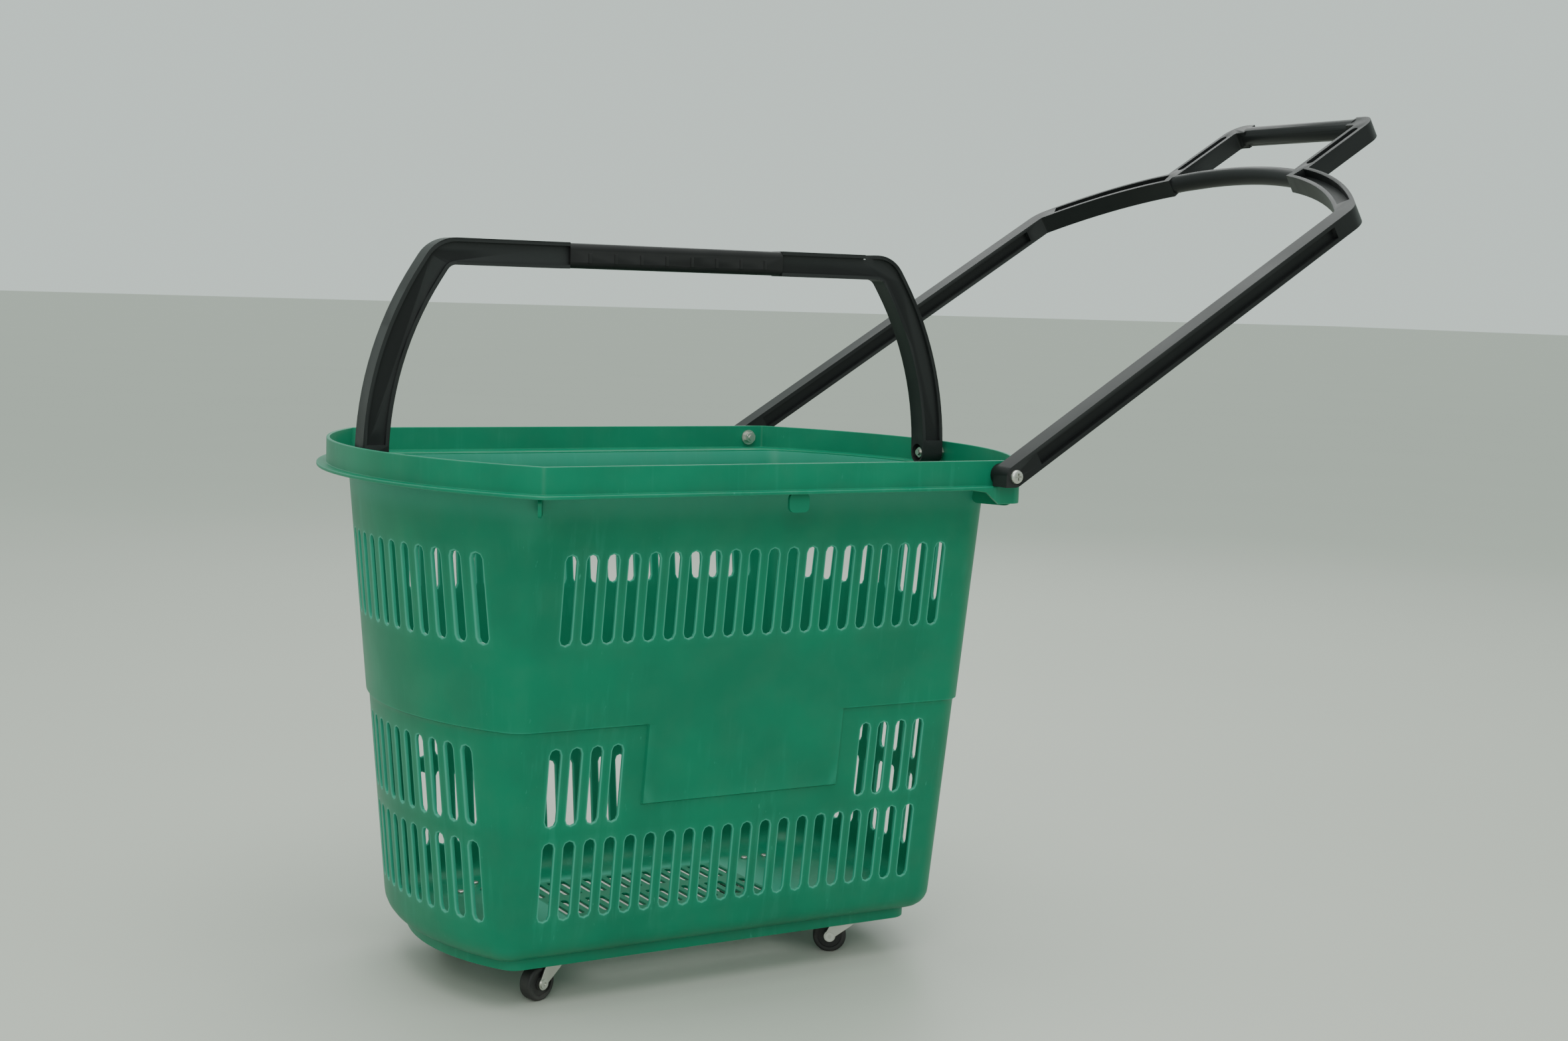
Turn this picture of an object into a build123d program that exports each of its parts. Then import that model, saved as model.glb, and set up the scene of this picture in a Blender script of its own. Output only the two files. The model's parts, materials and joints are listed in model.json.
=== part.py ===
from build123d import *
from math import cos, sin, radians, sqrt
import os

# Rolling basket trolley: a deep moulded basket on four swivel casters, with a carrying bail
# that stands over the middle and a long pull handle hinged at one end of the rim.
# Millimetres, +Z up. The origin is on the floor, under the middle of the basket.
# +X runs along the basket towards the pull handle.

# ---- basket -------------------------------------------------------------------------------
WALL = 3.0                    # moulded wall thickness
BASE_Z = 44.0                 # underside of the basket floor
STEP_Z = 255.0                # where the lower wall steps in
LEDGE_Z = 461.5               # underside of the ledge and flange
RIM_Z = 487.5                 # top of the rim band
STEP_INSET = 2.5              # how far the lower wall steps in
FOOT_RADIUS = 20.0            # rounding from the wall into the floor

RIM_SIDE, RIM_CORNER_X, RIM_APEX = 234.0, 234.0, 316.0      # outer face of the rim band
TOP_SIDE, TOP_CORNER_X, TOP_APEX = 195.0, 226.0, 299.0      # outer wall under the ledge
FOOT_SIDE, FOOT_CORNER_X, FOOT_APEX = 141.0, 222.0, 262.0   # outer wall carried down to the floor
RIM_ROUND, WALL_ROUND = 8.0, 26.0                           # plan rounding of the corners
FLANGE_OUT = 9.0              # flange lip outside the band

SKIRT_Z = 33.5                # lower edge of the base skirt
SKIRT_SIDE, SKIRT_CORNER_X, SKIRT_APEX = 121.0, 204.0, 243.0
SKIRT_ROUND = 18.0

LUG_Z = 448.0                 # lower edge of the turned-down skirt at the pull end
LUG_X0, LUG_X1 = 194.0, 213.0  # where the flange starts and ends turning down
LUG_OUT = 4.0                 # how far the turned-down skirt stands outside the band
CORNER_SHARE, ROUND_SHARE = 0.6, 0.5   # how much an outline's corners and rounding follow its inset
SKIRT_CORNER_IN = 2.0         # how much shorter and tighter the skirt is inside

RIB_PLACE = (225.0, 209.0)    # middle of each corner gusset under the ledge
RIB_SIZE, RIB_ROUND = (3.0, 44.0, 17.0), 8.0
RIB_TURN = 26.0               # each gusset points diagonally out of its corner, degrees
TAB_X, TAB_SIZE, TAB_ROUND = 6.0, (20.0, 17.0), 6.0
TUCK = 0.5                    # how far gussets and tabs run up into the ledge

# ---- slots --------------------------------------------------------------------------------
SLOT_W = 10.2
SIDE_PITCH, SIDE_COLUMNS = 19.6, 20
MIDDLE_COLUMNS = 4            # columns beside the label panel, at each end of the middle row
UPPER_ROW, MIDDLE_ROW, LOWER_ROW = (330.5, 408.5), (168.5, 238.5), (82.0, 154.0)
END_UPPER_PITCH, END_UPPER_COLUMNS = 20.8, 15
END_LOWER_PITCH, END_LOWER_COLUMNS = 19.6, 13
PANEL_HALF, PANEL_Z = 100.0, 182.0
FLOOR_SLOT = (6.0, 46.0)      # width along X, length along Y
FLOOR_PITCH, FLOOR_COLUMNS = 13.0, 17
FLOOR_ROWS_Y = (-61.0, 0.0, 61.0)

# ---- carrying bail -------------------------------------------------------------------------
BAIL_X, BAIL_Z = 295.0, 476.0  # pivot at each end of the basket
BAIL_BAR_Z = 660.5             # middle of the top bar
BAIL_ARC = 305.0               # radius of each leg's bow
BAIL_LEAN = 33.0               # how far round its bow a leg goes, in degrees
BAIL_W, BAIL_D = 24.0, 21.0    # section, in the bail's plane and across it
KNEE_R = 22.0                  # bend of the bail's middle line at each end of the bar
BAIL_LIP, BAIL_WEB = 3.5, 14.0  # flange and web thickness of the shallow channel section
BAIL_SOLID = 12.5              # how far each side of the pivot the leg is solid
NUT_WELL = (8.6, 10.0)         # radius and depth of the recess for the nut in each leg
NOTCH_X, NOTCH_SIZE = 212.0, (11.0, 4.5)  # notch in the top of the bar beside one knee
SHOULDER_GAP, SEAT_GAP = 0.3, 0.1  # play of each stud at its shoulders and at its seat
STUD_SEAT = 2.4                # how deep each stud sits in the band
GRIP_HALF, GRIP_MARKS, MARK_PITCH = 112.0, 8, 26.4
GRIP_CORE = 8.0                # how much thinner the bar is inside the grip
GRIP_PROUD, GRIP_ROUND = 0.5, 6.0
MARK_SIZE, MARK_DROP = (3.0, 1.6, 9.0), 2.0

# ---- pull handle ---------------------------------------------------------------------------
PULL_X, PULL_Z = 216.0, 475.0
PULL_ANGLE = 31.9              # slope of the handle at rest, degrees
ARM_Y = 249.0                  # middle of each arm
ARM_W, ARM_H = 21.0, 20.0      # section across the arm and at right angles to its plane
ARM_GROOVE = (12.0, 6.0)       # height and depth of the groove along each side of an arm
GROOVE_START, GROOVE_SHORT = 30.0, 60.0  # where it starts, and how much shorter than the arm it is
ARCH_R, ARCH_APEX = 360.0, 571.0
ROUND_BAR_HALF, ROUND_BAR_D = 97.0, 20.0
ROUND_BAR_INTO = 4.0           # how far the round bars run into the square ones
LOOP_Y, LOOP_S, LOOP_W = 103.0, 669.0, 19.0
LOOP_CORNER_R = 12.0           # bend of the loop's middle line at each end of the hand bar
HAND_HALF, GRIP_D = 80.0, 22.0
LOOP_GROOVE_W, LOOP_GROOVE_DEPTH, LOOP_GROOVE_INSET = 9.0, 8.0, 17.0
BOSS_R, BEARING_L = 10.0, 8.0  # round boss at the pivot, and its length towards the band
HEEL_GAP = 0.5                 # side clearance of the boss from the band, and of the heel from the lug
FRAME_CORNER_R = 14.0          # bend of the middle line from arm to arch
POCKET_W, POCKET_DEPTH, POCKET_START, POCKET_STOP = 13.0, 9.0, 16.0, 8.0

# ---- casters -------------------------------------------------------------------------------
CASTER_X, CASTER_Y = 157.0, 99.0
CASTER_TRAIL = 18.0
CASTER_HEADINGS = {"rear_near": 21.0, "rear_far": 24.0, "front_near": -31.0, "front_far": 8.0}
WHEEL_R, WHEEL_W = 16.0, 13.0
AXLE_R, BUSH_R = 2.5, 4.0
FORK_GAP, FORK_T = 15.0, 1.6
CROWN_Z = 35.5                 # underside of the fork crown
PLATE_HALF, PLATE_T, PLATE_ROUND = 16.0, 1.8, 4.0
CROWN_R = 13.0
BRIDGE_X0, BRIDGE_X1 = -15.0, 2.0  # ends of the flat that joins the crown to the legs
KING_R, KING_HEAD_R, KING_HEAD_H = 3.0, 5.0, 2.2
KING_PLAY, KING_CHAMFER = 0.2, 1.2
LEG_FRONT, LEG_THROAT = 9.0, 2.0   # where the front and the throat of a fork leg stand
LEG_STEPS = (3.0, 9.0)         # how far below the crown the leg's outline turns
LEG_BACK = 3.0                 # how far ahead of the axle the back edge of a leg stands
LEG_ROUND = 3.0
BALLS, BALL_R, BALL_CIRCLE = 10, 2.2, 8.2
BALL_PLAY = 0.05
RACE_R, RACE_T, RACE_H = 12.4, 1.0, 3.6  # pressed dust ring round the balls
AXLE_BOSS_R = 5.6
TREAD_ROUND = 2.2
DISH_RIM, DISH_HUB, DISH_DEPTH = 4.5, 2.2, 0.8  # dished side of a wheel, inside the tread and round the bush
BUSH_PLAY, BUSH_PROUD = 0.02, 0.6
RIVET_HEAD_R, RIVET_HEAD_H = 4.2, 1.2
RIVET_DIMPLE_R, RIVET_DIMPLE = 1.7, 0.8
RUN = 0.05                     # radial running clearance

# ---- fasteners -----------------------------------------------------------------------------
M6 = 3.0
NUT_AF, NUT_H = 10.0, 6.0
NUT_TURNED, NUT_CHAMFER = 0.565, 0.4   # radius its corners are turned to, as a share of its flats
WASHER_R, WASHER_T = 8.0, 1.4
HEAD_R, HEAD_H = 6.4, 4.2
HEAD_ROUND = 0.7               # rounding of a bolt head, as a share of its height
CROSS = (6.4, 1.3, 1.6)        # length, width and depth of the cross recess
BOLT_PAST_NUT = 1.5
SCREW_R, SCREW_HEAD_R, SCREW_HEAD_H = 1.9, 3.8, 2.2
SCREW_HEAD_ROUND, SCREW_PAST_NUT = 0.6, 0.6
SCREW_NUT_AF, SCREW_NUT_H = 6.0, 2.4
SCREW_OFF = 12.0               # screw places from the middle of a caster plate

os.makedirs("parts", exist_ok=True)


# ---------------------------------------------------------------------------------------------
def outline(side, corner_x, apex, rounding, z):
    """Plan of the basket at height z: two straight sides and two outward arcs."""
    edges = [
        Line((-corner_x, -side), (corner_x, -side)),
        ThreePointArc((corner_x, -side), (apex, 0), (corner_x, side)),
        Line((corner_x, side), (-corner_x, side)),
        ThreePointArc((-corner_x, side), (-apex, 0), (-corner_x, -side)),
    ]
    face = make_face(edges)
    face = fillet(face.vertices(), rounding)
    return Pos(0, 0, z) * face


def wall_outline(z, inset):
    """Outer plan of the draughted wall at height z, moved in by inset."""
    t = (z - BASE_Z) / (LEDGE_Z - BASE_Z)
    side = FOOT_SIDE + (TOP_SIDE - FOOT_SIDE) * t
    corner = FOOT_CORNER_X + (TOP_CORNER_X - FOOT_CORNER_X) * t
    apex = FOOT_APEX + (TOP_APEX - FOOT_APEX) * t
    rounding = WALL_ROUND - ROUND_SHARE * inset
    return outline(side - inset, corner - CORNER_SHARE * inset, apex - inset, rounding, z)


def wall_block(z0, z1, inset):
    return loft([wall_outline(z0, inset).face(), wall_outline(z1, inset).face()])


def rim_plate(out, z0, z1):
    """A plate with the rim's plan, grown outwards by out."""
    corner_x, rounding = RIM_CORNER_X + CORNER_SHARE * out, RIM_ROUND + ROUND_SHARE * out
    plan = outline(RIM_SIDE + out, corner_x, RIM_APEX + out, rounding, z0)
    return extrude(plan, z1 - z0)


def slot_row(plane, places, z0, z1, reach):
    """Upright stadium slots cut straight through both facing walls."""
    height = z1 - z0
    holes = Sketch() + [
        Pos(p, (z0 + z1) / 2) * SlotOverall(height, SLOT_W, rotation=90) for p in places
    ]
    return extrude(plane * holes, reach, both=True)


def columns(count, pitch):
    return [(i - (count - 1) / 2) * pitch for i in range(count)]


def basket_slots():
    side = columns(SIDE_COLUMNS, SIDE_PITCH)
    beside_panel = side[:MIDDLE_COLUMNS] + side[-MIDDLE_COLUMNS:]
    upper = columns(END_UPPER_COLUMNS, END_UPPER_PITCH)
    lower = columns(END_LOWER_COLUMNS, END_LOWER_PITCH)
    reach_y, reach_x = RIM_SIDE, RIM_APEX
    tools = [
        slot_row(Plane.XZ, side, *UPPER_ROW, reach_y),
        slot_row(Plane.XZ, beside_panel, *MIDDLE_ROW, reach_y),
        slot_row(Plane.XZ, side, *LOWER_ROW, reach_y),
        slot_row(Plane.YZ, upper, *UPPER_ROW, reach_x),
        slot_row(Plane.YZ, lower, *MIDDLE_ROW, reach_x),
        slot_row(Plane.YZ, lower, *LOWER_ROW, reach_x),
    ]
    floor = Sketch() + [
        Pos(x, y) * SlotOverall(FLOOR_SLOT[1], FLOOR_SLOT[0], rotation=90)
        for x in columns(FLOOR_COLUMNS, FLOOR_PITCH)
        for y in FLOOR_ROWS_Y
    ]
    tools.append(Pos(0, 0, BASE_Z) * extrude(floor, 2 * WALL, both=True))
    return tools


def label_panels():
    """The upper wall carried down below the step, as a smooth tongue on each long side."""
    tongue = wall_block(PANEL_Z, STEP_Z, 0) - wall_block(PANEL_Z, STEP_Z, WALL)
    mask = Pos(0, 0, (PANEL_Z + STEP_Z) / 2) * Box(2 * PANEL_HALF, 2 * RIM_SIDE, STEP_Z - PANEL_Z)
    return tongue & mask


def turned_down_skirt():
    """The flange turned down round the pull end, as a hand hold."""
    ring = rim_plate(LUG_OUT, LUG_Z, LEDGE_Z + WALL) - rim_plate(LUG_OUT - WALL, LUG_Z, LEDGE_Z + WALL)
    far = RIM_APEX + 2 * FLANGE_OUT
    profile = make_face(Polyline(
        (LUG_X0, LEDGE_Z + WALL), (LUG_X0, LEDGE_Z), (LUG_X1, LUG_Z), (far, LUG_Z), (far, LEDGE_Z + WALL),
        close=True))
    return ring & extrude(Plane.XZ * profile, 2 * RIM_SIDE, both=True)


def flange():
    """The lip outside the band. It stops where the skirt turns down at the pull end."""
    lip = rim_plate(FLANGE_OUT, LEDGE_Z, LEDGE_Z + WALL) - rim_plate(-WALL, LEDGE_Z, LEDGE_Z + WALL)
    pull_end = Pos(LUG_X0 + RIM_APEX, 0, LEDGE_Z) * Box(2 * RIM_APEX, 4 * RIM_SIDE, 4 * WALL)
    end_lip = rim_plate(LUG_OUT, LEDGE_Z, LEDGE_Z + WALL) - rim_plate(-WALL, LEDGE_Z, LEDGE_Z + WALL)
    return (lip - pull_end) + end_lip


def flange_ribs():
    """Small gussets under the ledge at the corners, and a rounded tab in the middle of each side."""
    ribs = []
    _, _, rib_h = RIB_SIZE
    tab_w, tab_h = TAB_SIZE
    for sy in (-1, 1):
        for sx in (-1, 1):
            rib = Box(*RIB_SIZE)
            rib = fillet(rib.edges().filter_by(Axis.X).group_by(Axis.Z)[0], RIB_ROUND)
            place = Pos(sx * RIB_PLACE[0], sy * RIB_PLACE[1], LEDGE_Z - rib_h / 2 + TUCK)
            ribs.append(place * Rot(0, 0, -sx * sy * RIB_TURN) * rib)
        tab = Pos(TAB_X, sy * (RIM_SIDE - WALL / 2), LEDGE_Z - tab_h / 2 + TUCK) * Box(tab_w, WALL, tab_h)
        ribs.append(fillet(tab.edges().filter_by(Axis.Y).group_by(Axis.Z)[0], TAB_ROUND))
    return [r - wall_block(BASE_Z, LEDGE_Z, WALL / 2) for r in ribs]


def basket_body():
    outer = wall_block(BASE_Z, STEP_Z, STEP_INSET)
    outer = fillet(outer.faces().sort_by(Axis.Z)[0].edges(), FOOT_RADIUS)
    outer += wall_block(STEP_Z, LEDGE_Z + WALL, 0)
    inner = wall_block(BASE_Z + WALL, STEP_Z + WALL, STEP_INSET + WALL)
    inner = fillet(inner.faces().sort_by(Axis.Z)[0].edges(), FOOT_RADIUS - WALL)
    inner += wall_block(STEP_Z + WALL, LEDGE_Z + 2 * WALL, WALL)

    skirt_plan = outline(SKIRT_SIDE, SKIRT_CORNER_X, SKIRT_APEX, SKIRT_ROUND, SKIRT_Z)
    skirt_hole = outline(
        SKIRT_SIDE - WALL, SKIRT_CORNER_X - SKIRT_CORNER_IN, SKIRT_APEX - WALL,
        SKIRT_ROUND - SKIRT_CORNER_IN, SKIRT_Z)
    skirt_top = BASE_Z + WALL / 2
    skirt = extrude(skirt_plan, skirt_top - SKIRT_Z) - extrude(skirt_hole, skirt_top - SKIRT_Z)

    ledge = rim_plate(0, LEDGE_Z, LEDGE_Z + WALL)
    band = rim_plate(0, LEDGE_Z, RIM_Z) - rim_plate(-WALL, LEDGE_Z, RIM_Z)
    body = outer + ledge + band + flange() + turned_down_skirt() + skirt + label_panels()
    for rib in flange_ribs():
        body += rib
    body -= inner
    for tool in basket_slots():
        body -= tool
    body -= Pos(PULL_X, 0, PULL_Z) * Cylinder(M6 + RUN, 4 * RIM_SIDE, rotation=(90, 0, 0))
    stud_seats = Cylinder(M6 + RUN, 2 * (RIM_APEX - WALL + STUD_SEAT), rotation=(0, 90, 0))
    body -= Pos(0, 0, BAIL_Z) * stud_seats
    for x, y in caster_places().values():
        for hx, hy in screw_places():
            body -= Pos(x + hx, y + hy, BASE_Z) * Cylinder(SCREW_R + RUN, 4 * WALL)
    return body


# ---------------------------------------------------------------------------------------------
def bail_points():
    """Middle line of the right half of the bail as (X, Z) points: pivot, bow, bow end, knee."""
    turn = radians(BAIL_LEAN)
    bow = [(BAIL_X - BAIL_ARC * (1 - cos(a)), BAIL_Z + BAIL_ARC * sin(a)) for a in (turn / 2, turn)]
    run_in = (BAIL_BAR_Z - bow[1][1]) * sin(turn) / cos(turn)
    knee = (bow[1][0] - run_in, BAIL_BAR_Z)
    return [(BAIL_X, BAIL_Z), bow[0], bow[1], knee]


def bail_band(width, depth):
    """A band of the given width that follows the whole bail, with rounded knees."""
    pivot, mid, end, knee = bail_points()
    turn = radians(BAIL_LEAN)
    cut = KNEE_R * sqrt((1 - sin(turn)) / (1 + sin(turn)))
    leg_end = (knee[0] + cut * sin(turn), knee[1] - cut * cos(turn))
    bar_end = (knee[0] - cut, knee[1])
    mid_turn = radians(45) + turn / 2
    middle = (bar_end[0] + KNEE_R * cos(mid_turn), bar_end[1] + KNEE_R * (sin(mid_turn) - 1))
    right = [ThreePointArc(pivot, mid, end), Line(end, leg_end), ThreePointArc(leg_end, middle, bar_end)]
    path = right + [Line(bar_end, (-bar_end[0], bar_end[1]))] + [mirror(e, Plane.YZ) for e in right]
    return extrude(Plane.XZ * trace(path, width), depth / 2, both=True)


def grip_block(width, depth):
    """A block along the middle of the bail's bar, as long as the grip."""
    return Pos(0, 0, BAIL_BAR_Z) * Box(2 * GRIP_HALF, depth, width)


def carry_handle():
    """The bail: flanges along both edges, a web down the middle, solid and round at the pivots."""
    bail = bail_band(BAIL_W, BAIL_D)
    pocket = bail_band(BAIL_W - 2 * BAIL_LIP, BAIL_D + 2) - Box(4 * BAIL_X, BAIL_WEB, 4 * BAIL_BAR_Z)
    for sx in (-1, 1):
        pivot = Pos(sx * BAIL_X, 0, BAIL_Z)
        pocket -= pivot * Box(2 * BAIL_W, 2 * BAIL_D, 2 * BAIL_SOLID)
        bail += pivot * Cylinder(BAIL_D / 2, BAIL_W, rotation=(0, 90, 0))
    pocket -= grip_block(2 * BAIL_W, 2 * BAIL_D)
    bail -= pocket
    bail -= grip_block(2 * BAIL_W, 2 * BAIL_D) - grip_block(BAIL_W - GRIP_CORE, BAIL_D - GRIP_CORE)
    notch_w, notch_depth = NOTCH_SIZE
    bail -= Pos(NOTCH_X, 0, BAIL_BAR_Z + BAIL_W / 2) * Box(notch_w, 2 * BAIL_D, 2 * notch_depth)
    bail -= Pos(0, 0, BAIL_Z) * Cylinder(M6 + RUN, 4 * BAIL_X, rotation=(0, 90, 0))
    well_r, well_depth = NUT_WELL
    for sx in (-1, 1):
        well_x = BAIL_X - BAIL_W / 2 + well_depth / 2 - 0.5
        bail -= Pos(sx * well_x, 0, BAIL_Z) * Cylinder(well_r, well_depth + 1, rotation=(0, 90, 0))
    return bail


def carry_grip():
    """Sleeve round the middle of the bar, with a row of short raised marks on both faces."""
    sleeve = grip_block(BAIL_W - 2 * GRIP_PROUD, BAIL_D + 2 * GRIP_PROUD)
    sleeve = fillet(sleeve.edges().filter_by(Axis.X), GRIP_ROUND)
    sleeve -= grip_block(BAIL_W - GRIP_CORE, BAIL_D - GRIP_CORE)
    for x in columns(GRIP_MARKS, MARK_PITCH):
        for sy in (-1, 1):
            sleeve += Pos(x, sy * (BAIL_D / 2 + GRIP_PROUD), BAIL_BAR_Z - MARK_DROP) * Box(*MARK_SIZE)
    return sleeve


def bail_stud(sx):
    """Stud set in the band: hex shoulder, plain journal, and an end for the nut inside the leg."""
    seat_x, shoulder_x = RIM_APEX - WALL + STUD_SEAT - SEAT_GAP, RIM_APEX - WALL - SHOULDER_GAP
    journal_end = BAIL_X - BAIL_W / 2
    journal = Pos((seat_x + journal_end) / 2, 0, 0) * Cylinder(M6, seat_x - journal_end, rotation=(0, 90, 0))
    shoulder_end = BAIL_X + BAIL_W / 2 + SHOULDER_GAP
    hexagon = Plane.YZ * RegularPolygon(NUT_AF / 2, 6, major_radius=False)
    shoulder = Pos(shoulder_end, 0, 0) * extrude(hexagon, shoulder_x - shoulder_end)
    stud = journal + shoulder
    return Pos(0, 0, BAIL_Z) * (stud if sx > 0 else mirror(stud, Plane.YZ))


def hex_nut(bore_r=M6, flats=NUT_AF, height=NUT_H):
    """A hexagon nut standing on the XY plane, with its corners turned off."""
    nut = extrude(RegularPolygon(flats / 2, 6, major_radius=False), height)
    turned = Cylinder(flats * NUT_TURNED, height, align=(Align.CENTER, Align.CENTER, Align.MIN))
    nut &= chamfer(turned.edges(), NUT_CHAMFER)
    return nut - Cylinder(bore_r, 3 * height)


def washer(outer=WASHER_R, bore=M6 + RUN, thick=WASHER_T):
    disc = Cylinder(outer, thick, align=(Align.CENTER, Align.CENTER, Align.MIN))
    return disc - Cylinder(bore, 3 * thick)


def bail_fastener(piece, depth_in_leg, sx):
    """Put a nut or washer on a stud, facing inwards from the floor of the leg's recess."""
    x = BAIL_X - BAIL_W / 2 + NUT_WELL[1] - depth_in_leg
    place = Plane(origin=(sx * x, 0, BAIL_Z), z_dir=(-sx, 0, 0))
    return place * piece


# ---------------------------------------------------------------------------------------------
def handle_plane():
    tilt = radians(PULL_ANGLE)
    along, upwards = (cos(tilt), 0, sin(tilt)), (-sin(tilt), 0, cos(tilt))
    return Plane(origin=(PULL_X, 0, PULL_Z), x_dir=along, z_dir=upwards)


def arch_s(y):
    """How far along the handle the middle of the arch is, at sideways place y."""
    return ARCH_APEX - ARCH_R + sqrt(ARCH_R ** 2 - y ** 2)


def arch_arc(sy, y_out, y_in):
    """The middle line of the arch on side sy, between two sideways places."""
    return ThreePointArc(*[(arch_s(y), sy * y) for y in (y_out, (y_out + y_in) / 2, y_in)])


def frame_path(sy):
    """One arm and its half of the arch, up to the round bar, with a rounded corner."""
    arm = Line((0, sy * ARM_Y), (arch_s(ARM_Y), sy * ARM_Y))
    path = Wire([arm, arch_arc(sy, ARM_Y, ROUND_BAR_HALF)])
    return fillet([path.vertices().sort_by(Axis.X)[1]], FRAME_CORNER_R)


def handle_bar(path, width, height):
    return extrude(trace(path, width), height / 2, both=True)


def rod(start, end, radius):
    """A round rod from one point to another in the handle's plane."""
    start, end = Vector(*start, 0), Vector(*end, 0)
    along = end - start
    return Plane(origin=start, z_dir=along) * Cylinder(
        radius, along.length, align=(Align.CENTER, Align.CENTER, Align.MIN))


def arch_rod():
    """The round middle of the arch."""
    y = ROUND_BAR_HALF + ROUND_BAR_INTO
    path = ThreePointArc((arch_s(y), -y), (ARCH_APEX, 0), (arch_s(y), y))
    return sweep(Plane(origin=path @ 0, z_dir=path % 0) * Circle(ROUND_BAR_D / 2), path)


def grip_loop():
    """Two side bars beyond the arch, bent over at their ends, with the round hand bar between them."""
    start = arch_s(LOOP_Y)
    corners = (start, -LOOP_Y), (LOOP_S, -LOOP_Y), (LOOP_S, LOOP_Y), (start, LOOP_Y)
    loop = handle_bar(FilletPolyline(*corners, radius=LOOP_CORNER_R), LOOP_W, ARM_H)
    loop -= Pos(LOOP_S, 0, 0) * Box(2 * LOOP_W, 2 * HAND_HALF, 2 * ARM_H)
    reach = HAND_HALF + ROUND_BAR_INTO
    loop += rod((LOOP_S, -reach), (LOOP_S, reach), GRIP_D / 2)
    groove_s0, groove_s1 = start + LOOP_GROOVE_INSET, LOOP_S - LOOP_GROOVE_INSET
    for sy in (-1, 1):
        place = Pos((groove_s0 + groove_s1) / 2, sy * LOOP_Y, ARM_H / 2)
        groove = place * SlotOverall(groove_s1 - groove_s0, LOOP_GROOVE_W)
        loop -= extrude(groove, LOOP_GROOVE_DEPTH, both=True)
    return loop


def arm_grooves(sy):
    """Long grooves along the outer and inner faces of an arm."""
    depth_out, length = ARM_GROOVE[1], arch_s(ARM_Y) - GROOVE_SHORT
    cuts = []
    for side in (-1, 1):
        y = sy * ARM_Y + side * (ARM_W / 2)
        cuts.append(Pos(GROOVE_START + length / 2, y, 0) * Box(length, 2 * depth_out, ARM_GROOVE[0]))
    return cuts


def pull_handle():
    """Two arms, a curved cross member and a hand loop, moulded in one piece."""
    handle = arch_rod() + grip_loop()
    for sy in (-1, 1):
        handle += handle_bar(frame_path(sy), ARM_W, ARM_H)
        handle += Pos(0, sy * ARM_Y, 0) * Cylinder(BOSS_R, ARM_W, rotation=(90, 0, 0))
        bearing_y = RIM_SIDE + HEEL_GAP + BEARING_L / 2
        bearing = Pos(0, sy * bearing_y, 0) * Cylinder(BOSS_R, BEARING_L, rotation=(90, 0, 0))
        handle += bearing
    for sy in (-1, 1):
        for cut in arm_grooves(sy):
            handle -= cut
        pocket = trace(arch_arc(sy, ARM_Y - POCKET_START, ROUND_BAR_HALF + POCKET_STOP), POCKET_W)
        handle -= Pos(0, 0, ARM_H / 2 - POCKET_DEPTH) * extrude(pocket, 2 * POCKET_DEPTH)
    handle -= Cylinder(M6 + RUN, 4 * RIM_SIDE, rotation=(90, 0, 0))
    handle = handle_plane() * handle
    heel = Pos(PULL_X - BOSS_R / 2, 0, PULL_Z - BOSS_R / 2) * Box(BOSS_R, 2 * (ARM_Y + ARM_W / 2), BOSS_R)
    gap = Box(4 * RIM_APEX, 2 * (RIM_SIDE + LUG_OUT + HEEL_GAP), 4 * RIM_Z)
    bore = Pos(PULL_X, 0, PULL_Z) * Cylinder(M6 + RUN, 4 * RIM_SIDE, rotation=(90, 0, 0))
    return handle + (heel - gap - bore)


def pull_bolt(sy):
    """Pan-head bolt from outside, through the arm and the band, with a cross recess."""
    outside, inside = ARM_Y + ARM_W / 2, RIM_SIDE - WALL - WASHER_T - NUT_H - BOLT_PAST_NUT
    shank = Cylinder(M6, outside - inside, align=(Align.CENTER, Align.CENTER, Align.MIN))
    head = Pos(0, 0, outside - inside) * Cylinder(
        HEAD_R, HEAD_H, align=(Align.CENTER, Align.CENTER, Align.MIN))
    head = fillet(head.edges().group_by(Axis.Z)[-1], HEAD_H * HEAD_ROUND)
    top = outside - inside + HEAD_H
    cross_l, cross_w, cross_depth = CROSS
    for turn in (0, 90):
        head -= Pos(0, 0, top) * Box(cross_l, cross_w, 2 * cross_depth, rotation=(0, 0, turn))
    return Plane(origin=(PULL_X, sy * inside, PULL_Z), z_dir=(0, sy, 0)) * (shank + head)


def pull_fastener(piece, depth, sy):
    """Put a nut or washer inside the band, facing into the basket."""
    place = Plane(origin=(PULL_X, sy * (RIM_SIDE - WALL - depth), PULL_Z), z_dir=(0, -sy, 0))
    return place * piece


# ---------------------------------------------------------------------------------------------
def caster_places():
    signs = {"rear_near": (-1, -1), "rear_far": (-1, 1), "front_near": (1, -1), "front_far": (1, 1)}
    return {name: (sx * CASTER_X, sy * CASTER_Y) for name, (sx, sy) in signs.items()}


def screw_places():
    return [(sx * SCREW_OFF, sy * SCREW_OFF) for sx in (-1, 1) for sy in (-1, 1)]


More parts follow.
